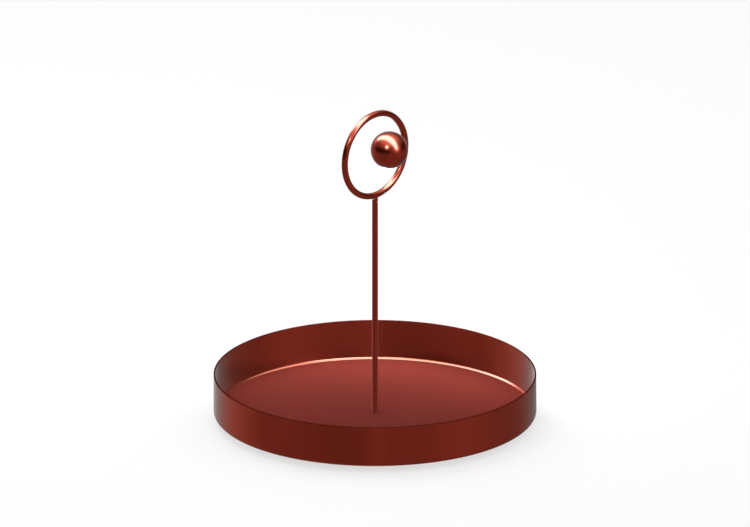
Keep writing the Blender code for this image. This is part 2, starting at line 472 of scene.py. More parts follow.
def finished_mesh(shape: bmesh.types.BMesh, name: str) -> bpy.types.Mesh:
    """Turn a shape under construction into a mesh, and free it.

    Args:
        shape: the shape.
        name: the mesh's name.

    Returns:
        The softened mesh.
    """
    mesh = bpy.data.meshes.new(name)
    shape.to_mesh(mesh)
    shape.free()
    soften(mesh)
    return mesh


def soften(mesh: bpy.types.Mesh) -> None:
    """Shade the round sides smooth and keep the corners sharp."""
    mesh.shade_smooth()
    mesh.set_sharp_from_angle(angle=SMOOTH_ANGLE)


def add_object(name: str, data: bpy.types.ID) -> bpy.types.Object:
    """Put an object into the scene, at the origin.

    Args:
        name: the object's name.
        data: its mesh, lamp or camera.

    Returns:
        The object.
    """
    item = bpy.data.objects.new(name, data)
    bpy.context.scene.collection.objects.link(item)
    return item


def plain_copy(source: bpy.types.Object, name: str) -> bpy.types.Object:
    """Turn an object with live modifiers into a plain mesh object, and remove the source.

    Args:
        source: the object with modifiers.
        name: the new piece's name.

    Returns:
        The plain object, at the origin.
    """
    graph = bpy.context.evaluated_depsgraph_get()
    mesh = bpy.data.meshes.new_from_object(source.evaluated_get(graph), depsgraph=graph)
    bpy.data.objects.remove(source, do_unlink=True)
    mesh.name = name
    return add_object(name, mesh)


def carve(piece: bpy.types.Object, cutters: Iterable[bpy.types.Object]) -> bpy.types.Object:
    """Cut a piece by closed cutters, which are then removed.

    Args:
        piece: the piece, at the origin.
        cutters: the shapes to take away.

    Returns:
        The cut piece under the same name.
    """
    name = piece.name
    piece.name = name + "_uncut"
    cutters = list(cutters)
    for cutter in cutters:
        boolean = piece.modifiers.new(cutter.name, "BOOLEAN")
        boolean.object = cutter
        boolean.solver = "EXACT"
    cut = plain_copy(piece, name)
    for cutter in cutters:
        bpy.data.objects.remove(cutter, do_unlink=True)
    soften(cut.data)
    return cut


def join(parts: Sequence[bpy.types.Object], name: str) -> bpy.types.Object:
    """Join objects at the origin into one.

    Args:
        parts: the objects, which are removed.
        name: the new piece's name.

    Returns:
        The joined piece.
    """
    shape = bmesh.new()
    for part in parts:
        shape.from_mesh(part.data)
        bpy.data.objects.remove(part, do_unlink=True)
    return add_object(name, finished_mesh(shape, name))


def grown_by_tree(name: str, tree: bpy.types.NodeTree, **inputs: object) -> bpy.types.Object:
    """Let a geometry tree make a piece and turn the result into a plain mesh.

    Args:
        name: the piece's name.
        tree: the geometry tree.
        inputs: values by the tree's input names.

    Returns:
        The finished plain object.
    """
    holder = add_object(name + "_holder", bpy.data.meshes.new(name + "_holder"))
    modifier = holder.modifiers.new(name, "NODES")
    modifier.node_group = tree
    for item in tree.interface.items_tree:
        if item.in_out == "INPUT" and item.name in inputs:
            modifier[item.identifier] = inputs[item.name]
    piece = plain_copy(holder, name)
    soften(piece.data)
    return piece


def dress(
    piece: bpy.types.Object,
    material: bpy.types.Material,
    nodes: Sequence[str],
) -> bpy.types.Object:
    """Give a piece its finish and its place in the frame.

    Args:
        piece: the finished object.
        material: its material.
        nodes: the solids that it stands for.

    Returns:
        The same piece.
    """
    if not piece.data.materials:
        piece.data.materials.append(material)
    piece.visible_glossy = False
    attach(piece, BODY)
    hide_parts(*nodes)
    LOG.info("%s: %d faces, for %s", piece.name, len(piece.data.polygons), ", ".join(nodes))
    return piece


def middle(node: str) -> Vector:
    """The middle of a solid's box."""
    low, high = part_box(node)
    return (low + high) / 2


def extent(node: str) -> Vector:
    """The sides of a solid's box."""
    low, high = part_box(node)
    return high - low


# Geometry trees


class GeometryTree(NodeSketch):
    """A geometry tree under construction, with its named inputs."""

    NUMBER = "NodeSocketFloat"
    WHOLE_NUMBER = "NodeSocketInt"
    MATERIAL = "NodeSocketMaterial"
    PIECE = "NodeSocketObject"

    def __init__(self, name: str) -> None:
        """Start an empty tree.

        Args:
            name: the tree's name.
        """
        super().__init__(bpy.data.node_groups.new(name, "GeometryNodeTree"))
        self.tree.interface.new_socket("Geometry", in_out="OUTPUT", socket_type="NodeSocketGeometry")
        self.entry = self.add("NodeGroupInput")

    def ask(self, kind: str, *names: str) -> list[bpy.types.NodeSocket]:
        """Add named inputs of one kind.

        Args:
            kind: the sockets' type.
            names: the inputs' names.

        Returns:
            The sockets inside the tree that carry them.
        """
        for name in names:
            self.tree.interface.new_socket(name, in_out="INPUT", socket_type=kind)
        return [self.entry.outputs[name] for name in names]

    def close(self, geometry: bpy.types.NodeSocket, material: bpy.types.NodeSocket) -> bpy.types.NodeTree:
        """End the tree in real meshes with their material.

        Args:
            geometry: what the tree has made.
            material: the material's input.

        Returns:
            The finished tree.
        """
        real = self.add("GeometryNodeRealizeInstances", {0: geometry})
        dressed = self.add("GeometryNodeSetMaterial", {"Geometry": real.outputs[0], "Material": material})
        self.add("NodeGroupOutput", {0: dressed.outputs[0]})
        return self.tree


def bent_bar_tree() -> bpy.types.NodeTree:
    """A round bar along a circle that stands in the XZ plane.

    Returns:
        The tree, with inputs for both radii, the height and the steps.
    """
    made = GeometryTree("bent_bar")
    radius, bar, height = made.ask(made.NUMBER, "Ring radius", "Bar radius", "Centre height")
    steps, bar_steps = made.ask(made.WHOLE_NUMBER, "Steps round the ring", "Steps round the bar")
    (material,) = made.ask(made.MATERIAL, "Material")
    path = made.add("GeometryNodeCurvePrimitiveCircle", {"Resolution": steps, "Radius": radius})
    section = made.add("GeometryNodeCurvePrimitiveCircle", {"Resolution": bar_steps, "Radius": bar})
    swept = made.add("GeometryNodeCurveToMesh", {0: path.outputs[0], 1: section.outputs[0]})
    lift = made.add("ShaderNodeCombineXYZ", {2: height})
    turned = made.add(
        "GeometryNodeTransform",
        {"Geometry": swept.outputs[0], "Translation": lift.outputs[0], "Rotation": (math.pi / 2, 0, 0)},
    )
    return made.close(turned.outputs[0], material)


def thread_tree() -> bpy.types.NodeTree:
    """A threaded rod along Z, closed at both ends, its crest running up a helix.

    Returns:
        The tree, with inputs for the radii, the length and the pitch.
    """
    made = GeometryTree("threaded_rod")
    crest, depth, length, pitch = made.ask(made.NUMBER, "Crest radius", "Thread depth", "Length", "Pitch")
    around, along = made.ask(made.WHOLE_NUMBER, "Steps round", "Steps along")
    (material,) = made.ask(made.MATERIAL, "Material")
    calc = made.math
    grid = made.add(
        "GeometryNodeMeshGrid",
        {"Size X": 1.0, "Size Y": 1.0, "Vertices X": around, "Vertices Y": along},
    )
    place = made.add("ShaderNodeSeparateXYZ", {0: made.add("GeometryNodeInputPosition").outputs[0]})
    turn = calc("ADD", place.outputs[0], 0.5)
    rise = calc("ADD", place.outputs[1], 0.5)
    row = calc("MULTIPLY", rise, calc("SUBTRACT", along, 1.0))
    inner_rows = calc("SUBTRACT", along, float(END_ROWS))
    share = calc("DIVIDE", calc("SUBTRACT", row, 1.0), inner_rows, clamp=True)
    height = calc("MULTIPLY", share, length)
    phase = calc("FRACT", calc("SUBTRACT", calc("DIVIDE", height, pitch), turn))
    groove = calc("SUBTRACT", 1.0, calc("MULTIPLY", calc("ABSOLUTE", calc("SUBTRACT", phase, 0.5)), 2.0))
    from_end = calc("MINIMUM", height, calc("SUBTRACT", length, height))
    lead_in = calc("DIVIDE", from_end, pitch, clamp=True)
    root = calc("SUBTRACT", crest, depth)
    radius = calc("MULTIPLY_ADD", calc("MULTIPLY", groove, lead_in), depth, root)
    from_edge = calc("MINIMUM", row, calc("SUBTRACT", calc("SUBTRACT", along, 1.0), row))
    radius = calc("MULTIPLY", radius, calc("MINIMUM", calc("ROUND", from_edge), 1.0))
    angle = calc("MULTIPLY", turn, math.tau)
    spot = made.add(
        "ShaderNodeCombineXYZ",
        {
            0: calc("MULTIPLY", radius, calc("COSINE", angle)),
            1: calc("MULTIPLY", radius, calc("SINE", angle)),
            2: height,
        },
    )
    bent = made.add("GeometryNodeSetPosition", {"Geometry": grid.outputs[0], "Position": spot.outputs[0]})
    closed = made.add(
        "GeometryNodeMergeByDistance", {"Geometry": bent.outputs[0], "Distance": MERGE_DISTANCE}
    )
    return made.close(closed.outputs[0], material)


def circle_of_copies_tree() -> bpy.types.NodeTree:
    """Copies of one piece, evenly spaced on a level circle.

    Returns:
        The tree, with inputs for the piece, the count, the radius and the first one's turn.
    """
    made = GeometryTree("circle_of_copies")
    (source,) = made.ask(made.PIECE, "Piece")
    (count,) = made.ask(made.WHOLE_NUMBER, "Count")
    radius, first = made.ask(made.NUMBER, "Circle radius", "First turn")
    (material,) = made.ask(made.MATERIAL, "Material")
    circle = made.add("GeometryNodeMeshCircle", {"Vertices": count, "Radius": radius})
    turn = made.add("ShaderNodeCombineXYZ", {2: first})
    turned = made.add(
        "GeometryNodeTransform", {"Geometry": circle.outputs[0], "Rotation": turn.outputs[0]}
    )
    piece = made.add("GeometryNodeObjectInfo", {"Object": source})
    copies = made.add(
        "GeometryNodeInstanceOnPoints",
        {"Points": turned.outputs[0], "Instance": piece.outputs["Geometry"]},
    )
    return made.close(copies.outputs[0], material)


# Sub-assemblies


@dataclass
class TrayPan:
    """The spun pan: a flat floor and an upright wall in one sheet."""

    material: bpy.types.Material
    sheet: float = 0.0015
    corner: float = 0.0022
    cove_round: float = 0.0006
    cove_slope: float = 0.0019
    cove_tilt: float = 38.0
    rim_round: float = 0.0002
    shaded_rim_band: float = 0.0002
    wall_support: float = 0.0004
    hole_radius: float = 0.0018
    floor_rings: int = 24
    steps: int = 256
    corner_steps: int = 10
    cove_steps: int = 2
    rim_steps: int = 5

    def outline(self) -> list[Point]:
        """The closed half section, from the hole's lower edge outwards and back.

        Returns:
            (distance from the axis, height) points.
        """
        low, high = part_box("tray_pan")
        radius = high.x
        bend = self.corner + self.sheet
        centre = (radius - bend, low.z + bend)
        top = high.z - self.rim_round
        ring_width = (centre[0] - self.hole_radius) / self.floor_rings
        run = [self.hole_radius + ring_width * ring for ring in range(self.floor_rings)]
        points = [(across, low.z) for across in run]
        points += arc(centre, bend, -90, 0, self.corner_steps)
        points += [(radius, centre[1] + self.wall_support), (radius, top - self.wall_support)]
        points += arc((radius - self.rim_round, top), self.rim_round, 0, 90, self.rim_steps)
        inner = radius - self.sheet
        points += arc((inner + self.rim_round, top), self.rim_round, 90, 180, self.rim_steps)
        points.append((inner, top - self.wall_support))
        points += self.cove(inner, low.z + self.sheet)
        points += [(across, low.z + self.sheet) for across in reversed(run)]
        return points

    def cove(self, wall: float, floor: float) -> list[Point]:
        """The inner corner: a slope between two small rounds.

        Args:
            wall: the wall's inner radius.
            floor: the floor's height.

        Returns:
            The points from the wall down to the floor.
        """
        tilt = math.radians(self.cove_tilt)
        low = (wall - self.cove_round - self.cove_slope * math.cos(tilt), floor + self.cove_round)
        high = (wall - self.cove_round, low[1] + self.cove_slope * math.sin(tilt))
        points = [(wall, high[1] + self.wall_support)]
        points += arc(high, self.cove_round, 0, self.cove_tilt - 90, self.cove_steps)
        return points + arc(low, self.cove_round, self.cove_tilt - 90, -90, self.cove_steps)

    def cove_width(self) -> float:
        """Width of the inner corner on the floor."""
        return self.cove_round + self.cove_slope * math.cos(math.radians(self.cove_tilt))

    def build(self) -> bpy.types.Object:
        """Make the pan.

        Returns:
            The finished piece.
        """
        mesh = turned_mesh("pan", self.outline(), self.steps, closed=True)
        self.mark_zones(mesh)
        return dress(add_object("pan", mesh), self.material, ["tray_pan"])

    def mark_zones(self, mesh: bpy.types.Mesh) -> None:
        """Write the attributes that mark the pan's floor and the rim that gets painted shade.

        Args:
            mesh: the pan's mesh.
        """
        low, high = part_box("tray_pan")
        flat = high.x - self.sheet - self.cove_width()
        floors = mesh.attributes.new(Zone.FLOOR.value, "FLOAT", "POINT")
        shaded_rims = mesh.attributes.new(Zone.RIM.value, "FLOAT", "POINT")
        for vertex, floor, shaded_rim in zip(mesh.vertices, floors.data, shaded_rims.data):
            raised = vertex.co.z > low.z + self.sheet / 2
            floor.value = float(raised and vertex.co.xy.length < flat + self.sheet / 10)
            # The rim's top and a thin band below its rounding get the painted shade.
            shaded_rim.value = float(vertex.co.z > high.z - self.rim_round - self.shaded_rim_band)


@dataclass
class Handle:
    """The stem, the ring on top of it and the ball inside the ring."""

    material: bpy.types.Material
    foot_chamfer: float = 0.0003
    stud_hole_radius: float = 0.0018
    stud_depth: float = 0.008
    ring_hole_depth: float = 0.0035
    saddle: float = 0.0012
    foot_bore_depth: float = 0.012
    overrun: float = 0.001
    lacquer_gap: float = 0.00002
    collar_radius: float = 0.0023
    stem_steps: int = 96
    ring_steps: int = 256
    bar_steps: int = 48
    ball_steps: int = 160
    drill_steps: int = 48
    bar_tree: bpy.types.NodeTree = field(default_factory=bent_bar_tree)

    def build(self) -> list[bpy.types.Object]:
        """Make the three pieces.

        Returns:
            The stem, the ring and the ball.
        """
        made = {"stem": self.stem(), "ring": self.ring(), "ball": self.ball()}
        return [dress(piece, self.material, [node]) for node, piece in made.items()]

    def bar_radius(self) -> float:
        """Radius of the ring's bar."""
        return extent("ring").y / 2

    def ring_radius(self) -> float:
        """Radius of the ring, to the bar's middle."""
        return extent("ring").x / 2 - self.bar_radius()

    def ring_height(self) -> float:
        """Height of the ring's centre, from its top, because the low side has a hole."""
        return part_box("ring")[1].z - extent("ring").x / 2

    def bent_bar(self, name: str, bar_radius: float) -> bpy.types.Object:
        """A bar bent to the ring's circle, in the ring's place.

        Args:
            name: the object's name.
            bar_radius: radius of the bar.

        Returns:
            The plain object.
        """
        inputs = {
            "Ring radius": self.ring_radius(),
            "Bar radius": bar_radius,
            "Centre height": self.ring_height(),
            "Steps round the ring": self.ring_steps,
            "Steps round the bar": self.bar_steps,
            "Material": self.material,
        }
        return grown_by_tree(name, self.bar_tree, **inputs)

    def drill(self, name: str, low: float, high: float, turn: Optional[Matrix] = None) -> bpy.types.Object:
        """A drill for a stud's hole.

        Args:
            name: the object's name.
            low: where it starts along its own Z.
            high: where it ends along its own Z.
            turn: where its Z lies, if not upright at the origin.

        Returns:
            The cutter.
        """
        mesh = turned_mesh(name, rod_outline(self.stud_hole_radius, low, high), self.drill_steps)
        if turn is not None:
            mesh.transform(turn)
        return add_object(name, mesh)

    def stem(self) -> bpy.types.Object:
        """The bar with its chamfered foot on the pan's floor, both bores and its saddle.

        Returns:
            The stem.
        """
        low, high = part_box("stem")
        radius = extent("stem").x / 2
        ring_underside = high.z - self.saddle
        sole = low.z - SEAT_GAP + self.lacquer_gap
        outline = [
            (0, sole),
            (radius - self.foot_chamfer, sole),
            (radius, sole + self.foot_chamfer),
            (radius, sole + 2 * self.foot_chamfer),
            (radius, high.z),
            (0, high.z),
        ]
        stem = add_object("stem_bar", turned_mesh("stem_bar", outline, self.stem_steps))
        foot = self.drill("foot_drill", low.z - self.overrun, low.z + self.foot_bore_depth)
        top = self.drill("top_drill", ring_underside - self.stud_depth, high.z + self.overrun)
        saddle = self.bent_bar("saddle_cutter", self.bar_radius() + self.lacquer_gap)
        return carve(stem, [foot, top, saddle])

    def ring(self) -> bpy.types.Object:
        """The ring of round bar with its two blind holes.

        Returns:
            The ring.
        """
        ring = self.bent_bar("grip_ring", self.bar_radius())
        outside = extent("ring").x / 2
        lowest = self.ring_height() - outside
        up = self.drill("stem_side_drill", lowest - self.overrun, lowest + self.ring_hole_depth)
        inner = outside - 2 * self.bar_radius()
        sideways = Matrix.Translation((0, 0, self.ring_height())) @ Z_ALONG_X
        side = self.drill("ball_side_drill", inner - self.overrun, inner + self.ring_hole_depth, sideways)
        return carve(ring, [up, side])

    def ball(self) -> bpy.types.Object:
        """The ball with its blind hole towards the ring, and the lacquer's collar at the joint.

        Returns:
            The ball.
        """
        radius = extent("ball").z / 2
        hole_end = radius - self.stud_depth
        mouth = math.degrees(math.acos(self.collar_radius / radius))
        joint = radius + SEAT_GAP / 2
        outline = [(0, hole_end), (self.stud_hole_radius, hole_end)]
        outline += [(self.stud_hole_radius, joint), (self.collar_radius, joint)]
        outline += arc((0, 0), radius, mouth, -90, self.ball_steps // 2)
        mesh = turned_mesh("grip_ball", outline, self.ball_steps)
        centre = Vector((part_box("ball")[0].x + radius, 0, middle("ball").z))
        mesh.transform(Matrix.Translation(centre) @ Z_ALONG_X)
        return add_object("grip_ball", mesh)


@dataclass
class Fastenings:
    """The screw, its washers and the two studs."""

    material: bpy.types.Material
    thread_pitch: float = 0.0005
    thread_depth: float = 0.0003
    steps_round: int = 33
    rows_per_turn: int = 7
    head_edge: float = 0.0004
    socket_width: float = 0.002
    socket_depth: float = 0.001
    socket_sides: int = 6
    washer_chamfer: float = 0.0002
    hole_radius: float = 0.0018
    split: float = 0.0007
    slant: float = 0.0003
    steps: int = 96
    dome_steps: int = 12
    tree: bpy.types.NodeTree = field(default_factory=thread_tree)

    def build(self) -> list[bpy.types.Object]:
        """Make the five pieces.

        Returns:
            The studs, the screw and the washers.
        """
        made = {
            "ring_stud": self.stud("ring_stud", Matrix.Identity(4)),
            "ball_stud": self.stud("ball_stud", Z_ALONG_X),
            "stem_screw": self.screw(),
            "load_washer": self.load_washer(),
            "lock_washer": self.lock_washer(),
        }
        return [dress(piece, self.material, [node]) for node, piece in made.items()]

    def stud(self, node: str, turn: Matrix) -> bpy.types.Object:
        """A threaded rod in the place of a stud.

        Args:
            node: the stud's solid.
            turn: turns Z to the stud's axis.

        Returns:
            The rod.
        """
        width, _, length = sorted(extent(node))
        piece = self.threaded(node + "_thread", width / 2, length)
        start = middle(node) - turn @ Vector((0, 0, length / 2))
        piece.data.transform(Matrix.Translation(start) @ turn)
        return piece

    def threaded(self, name: str, radius: float, length: float) -> bpy.types.Object:
        """A threaded rod that stands on the origin.

        Args:
            name: the piece's name.
            radius: the crest's radius.
            length: the rod's length.

        Returns:
            The rod.
        """
        inputs = {
            "Crest radius": radius,
            "Thread depth": self.thread_depth,
            "Length": length,
            "Pitch": self.thread_pitch,
            "Steps round": self.steps_round,
            "Steps along": int(length / self.thread_pitch * self.rows_per_turn) + END_ROWS,
            "Material": self.material,
        }
        return grown_by_tree(name, self.tree, **inputs)

    def screw(self) -> bpy.types.Object:
        """The low round head with its socket, joined to the threaded shank.

        Returns:
            The screw.
        """
        low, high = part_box("stem_screw")
        head_radius = extent("stem_screw").x / 2
        head_height = self.head_height()
        seat = low.z + head_height
        corner = self.socket_width / 2 / math.cos(math.pi / self.socket_sides)
        crown = corner + self.head_edge
        outline = [(0, low.z)]
        for step in range(self.dome_steps + 1):
            angle = math.pi / 2 * step / self.dome_steps
            across = crown + (head_radius - crown) * math.sin(angle)
            down = self.head_edge + (head_height - self.head_edge) * math.cos(angle)
            outline.append((across, seat - down))
        outline += [(head_radius, seat), (0, seat)]
        head = add_object("screw_head", turned_mesh("screw_head", outline, self.steps))
        bore = rod_outline(corner, low.z - self.head_edge, low.z + self.socket_depth)
        socket = add_object("socket_cutter", turned_mesh("socket_cutter", bore, self.socket_sides))
        head = carve(head, [socket])
        shank = self.threaded("shank", self.hole_radius - SEAT_GAP, high.z - seat)
        shank.data.transform(Matrix.Translation((0, 0, seat)))
        return join([head, shank], "socket_screw")

    def head_height(self) -> float:
        """Height of the head, from the room between the screw's end and the lock washer."""
        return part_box("lock_washer")[0].z - SEAT_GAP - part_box("stem_screw")[0].z

    def load_washer(self) -> bpy.types.Object:
        """The wide washer with chamfered edges.

        Returns:
            The washer.
        """
        low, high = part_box("load_washer")
        radius = extent("load_washer").x / 2
        edge = self.washer_chamfer
        hole = self.hole_radius
        outline = [(hole, low.z + edge / 2), (hole + edge / 2, low.z)]
        outline += [(radius - edge, low.z), (radius, low.z + edge)]
        outline += [(radius, high.z - edge), (radius - edge, high.z)]
        outline += [(hole + edge / 2, high.z), (hole, high.z - edge / 2)]
        return add_object("wide_washer", turned_mesh("wide_washer", outline, self.steps, closed=True))

    def lock_washer(self) -> bpy.types.Object:
        """The split spring washer, pressed flat, with its slanted cut.

        Returns:
            The washer.
        """
        low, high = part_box("lock_washer")
        outside = extent("lock_washer").y / 2
        split = self.split / outside
        slant = self.slant / outside
        shape = bmesh.new()
        corners = []
        for radius, height, turn in (
            (self.hole_radius, high.z, split + slant),
            (outside, high.z, split + slant),
            (outside, low.z, split),
            (self.hole_radius, low.z, split),
        ):
            corners.append(shape.verts.new((radius * math.cos(turn), radius * math.sin(turn), height)))
        sides = [shape.edges.new((corners[i - 1], corners[i])) for i in range(len(corners))]
        bmesh.ops.spin(
            shape,
            geom=corners + sides,
            cent=(0, 0, 0),
            axis=(0, 0, 1),
            angle=math.tau - split,
            steps=self.steps,
        )
        bmesh.ops.holes_fill(shape, edges=shape.edges, sides=len(corners))
        bmesh.ops.recalc_face_normals(shape, faces=shape.faces)
        return add_object("split_washer", finished_mesh(shape, "split_washer"))


@dataclass
class Feet:
    """The rubber feet, moulded alike and set on one circle."""

    material: bpy.types.Material
    nodes: tuple[str, ...] = ("foot_1", "foot_2", "foot_3", "foot_4")
    base_radius: float = 0.00675
    edge_round: float = 0.0009
    top_edge: float = 0.0003
    dish_radius: float = 0.004
    dish_depth: float = 0.0004
    steps: int = 96
    edge_steps: int = 6

    def build(self) -> bpy.types.Object:
        """Make the feet as one piece of four bodies.

        Returns:
            The feet.
        """
        first = middle(self.nodes[0])
        mould = add_object("foot_mould", self.mould())
        inputs = {
            "Piece": mould,
            "Count": len(self.nodes),
            "Circle radius": first.xy.length,
            "First turn": math.atan2(first.y, first.x),
            "Material": self.material,
        }
        piece = grown_by_tree("rubber_feet", circle_of_copies_tree(), **inputs)
        bpy.data.objects.remove(mould, do_unlink=True)
        return dress(piece, self.material, self.nodes)

    def mould(self) -> bpy.types.Mesh:
        """One foot at the origin: a flat ring to stand on, round a shallow dish.

        Returns:
            The foot's mesh.
        """
        low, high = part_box(self.nodes[0])
        top_radius = extent(self.nodes[0]).x / 2
        dish = low.z + self.dish_depth
        rounding = (self.base_radius - self.edge_round, low.z + self.edge_round)
        outline = [(0, dish), (self.dish_radius - self.edge_round, dish), (self.dish_radius, low.z)]
        outline += arc(rounding, self.edge_round, -90, 0, self.edge_steps)
        outline += [
            (top_radius - self.top_edge / 4, high.z - self.top_edge),
            (top_radius, high.z - self.top_edge / 2),
            (top_radius, high.z),
            (0, high.z),
        ]
        return turned_mesh("foot_mould", outline, self.steps)


# Studio


@dataclass(frozen=True)
class View:
    """The photograph's camera: a level frame seen from afar, so without perspective."""

    azimuth: float = -45.0
    elevation: float = 19.53
    distance: float = 3.0
    frame_width: float = 0.6968
    image_width: float = 750.0
    image_height: float = 527.0
    axis_column: float = 375.0
    underside_row: float = 413.34
    sight: float = 100.0

    def back(self) -> Vector:
        """The direction from the object to the camera.

        Returns:
            The unit vector.
        """
        turn, rise = math.radians(self.azimuth), math.radians(self.elevation)
        level = Vector((math.sin(turn), -math.cos(turn), 0)) * math.cos(rise)
        return level + Vector((0, 0, math.sin(rise)))

    def direction(self, azimuth: float, elevation: float) -> Vector:
        """A direction round the object.

        Args:
            azimuth: 0 straight away from the camera, 90 to its right, in degrees.
            elevation: above the horizon, in degrees.

        Returns:
            The unit vector.
        """
        turn, rise = math.radians(self.azimuth), math.radians(elevation)
        away = Vector((-math.sin(turn), math.cos(turn), 0))
        right = Vector((math.cos(turn), math.sin(turn), 0))
        swing = math.radians(azimuth)
        level = away * math.cos(swing) + right * math.sin(swing)
        return level * math.cos(rise) + Vector((0, 0, math.sin(rise)))

    def place(self) -> bpy.types.Object:
        """Put the camera in the scene, with the pan's underside on its row of the image.

        Returns:
            The camera.
        """
        data = bpy.data.cameras.new("camera")
        data.type = "ORTHO"
        data.ortho_scale = self.frame_width
        data.clip_end = self.sight
        camera = add_object("camera", data)
        back = self.back()
        camera.rotation_mode = "QUATERNION"
        camera.rotation_quaternion = (-back).to_track_quat("-Z", "Y")
        metre_per_pixel = self.frame_width / self.image_width
        up = camera.rotation_quaternion @ Vector((0, 1, 0))
        right = camera.rotation_quaternion @ Vector((1, 0, 0))
        foot = Vector((0, 0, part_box("tray_pan")[0].z))
        rise = (self.underside_row - self.image_height / 2) * metre_per_pixel
        shift = (self.image_width / 2 - self.axis_column) * metre_per_pixel
        camera.location = foot + up * rise + right * shift + back * self.distance
        bpy.context.scene.camera = camera
        return camera


@dataclass(frozen=True)
class Card:
    """A soft-edged studio card that only reflections see: bright, or dark as a flag."""

    name: str
    azimuth: float
    elevation: float
    distance: float
    width: float
    height: float
    strength: float
    colour: Colour = (1.0, 1.0, 1.0)
    softness: float = 1.0
    squareness: float = 2.0

    def stand(self, view: View, aim: Vector) -> Matrix:
        """Where the card hangs: it faces the object.

        Args:
            view: gives the directions.
            aim: the point that the card faces.

        Returns:
            The card's matrix.
        """
        out = view.direction(self.azimuth, self.elevation)
        turn = (-out).to_track_quat("Z", "Y").to_matrix().to_4x4()
        return Matrix.Translation(aim + out * self.distance) @ turn

    def place(self, view: View, aim: Vector) -> bpy.types.Object:
        """Hang the card.

        Args:
            view: gives the directions.
            aim: the point that the card faces.

        Returns:
            The card.
        """
        corners = [(-1, -1), (1, -1), (1, 1), (-1, 1)]
        mesh = bpy.data.meshes.new(self.name)
        half = (self.width / 2, self.height / 2)
        mesh.from_pydata([(x * half[0], y * half[1], 0) for x, y in corners], [], [(0, 1, 2, 3)])
        flat = mesh.uv_layers.new(name="flat")
        for loop, corner in zip(flat.data, corners):
            loop.uv = corner
        mesh.transform(self.stand(view, aim))
        mesh.materials.append(self.glow())
        card = add_object(self.name, mesh)
        card.visible_camera = False
        card.visible_shadow = False
        card.visible_diffuse = False
        return card

    def glow(self) -> bpy.types.Material:
        """An even glow that fades out towards the card's edges.

        Returns:
            The material.
        """
        material = bpy.data.materials.new(self.name)
        sketch = blank_sketch(material)
        flat = sketch.add("ShaderNodeUVMap", uv_map="flat")
        spot = sketch.add("ShaderNodeSeparateXYZ", {0: flat.outputs[0]})
        sides = [sketch.math("ABSOLUTE", spot.outputs[axis]) for axis in (0, 1)]
        powers = [sketch.math("POWER", side, self.squareness) for side in sides]
        reach = sketch.math("POWER", sketch.math("ADD", *powers), 1.0 / self.squareness)
        edge = {"Value": reach, "From Min": 1 - self.softness, "From Max": 1.0}
        fade = sketch.add("ShaderNodeMapRange", edge, interpolation_type="SMOOTHSTEP")
        light = sketch.light("ShaderNodeEmission", self.strength, self.colour)
        clear = sketch.add("ShaderNodeBsdfTransparent")
        sketch.end_in_mix("ShaderNodeOutputMaterial", fade.outputs[0], light, clear)
        return material


@dataclass(frozen=True)
class PlacedCard(Card):
    """A card over or under the object, at an elevation of 90 level and at 0 upright.

    The azimuth turns it about Z, and the distance is its height over the aim.
    """

    middle: Point = (0.0, 0.0)

    def stand(self, view: View, aim: Vector) -> Matrix:
        """Where the card hangs or stands.

        Args:
            view: not used, because the place is given in the frame.
            aim: the point that its height is measured from.

        Returns:
            The card's matrix.
        """
        turn = Matrix.Rotation(math.radians(self.azimuth), 4, "Z")
        lean = Matrix.Rotation(math.radians(90 - self.elevation), 4, "X")
        return Matrix.Translation(aim + Vector((*self.middle, self.distance))) @ turn @ lean


def level_turn(back: Vector, across: Vector) -> Quaternion:
    """A turn that keeps a lamp's width level.

    Args:
        back: the direction from the object to the lamp.
        across: the level direction that its width lies along.

    Returns:
        The turn.
    """
    up = back.cross(across).normalized()
    return Matrix((across, up, across.cross(up))).transposed().to_quaternion()


@dataclass(frozen=True)
class SoftLamp:
    """A lamp that lights the object and the floor, and isn't mirrored itself."""

    name: str
    azimuth: float
    elevation: float
    distance: float
    size: float
    power: float
    aim: Point = (0.0, 0.0)
    depth: float = 0.0

    def place(self, view: View) -> bpy.types.Object:
        """Hang the lamp.

        Args:
            view: gives the directions round the object.

        Returns:
            The lamp.
        """
        data = bpy.data.lights.new(self.name, "AREA")
        data.shape = "RECTANGLE" if self.depth else "DISK"
        data.size = self.size
        data.size_y = self.depth or self.size
        data.energy = self.power
        lamp = add_object(self.name, data)
        away, right = view.direction(0, 0), view.direction(90, 0)
        target = away * self.aim[0] + right * self.aim[1]
        out = view.direction(self.azimuth, self.elevation)
        lamp.location = target + out * self.distance
        lamp.rotation_mode = "QUATERNION"
        lamp.rotation_quaternion = level_turn(out, right)
        lamp.visible_camera = False
        lamp.visible_glossy = False
        return lamp


